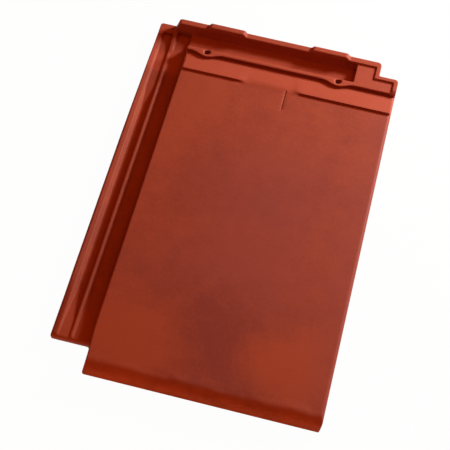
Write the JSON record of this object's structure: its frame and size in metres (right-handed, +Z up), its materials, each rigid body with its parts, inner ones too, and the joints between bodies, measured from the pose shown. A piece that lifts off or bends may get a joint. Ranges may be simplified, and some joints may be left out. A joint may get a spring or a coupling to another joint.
{
  "type": "flat interlocking clay tile",
  "caption": "Flat terracotta cladding tile with a ribbed side lock, a raised nailing strip, a head trough behind a lugged rim, and hanging nibs under the plate.",
  "frame": {"origin": "centre of the tile's outline, on the floor under it", "axes": "+X across the tile from the side lock to the hooked edge, +Y from the front edge to the head, +Z up out of the face"},
  "size_m": [0.314, 0.4884, 0.0342],
  "materials": {
    "clay": "natural red, unglazed, faint satin"
  },
  "bodies": {
    "root": {"tile": "clay"}
  },
  "joints": []
}
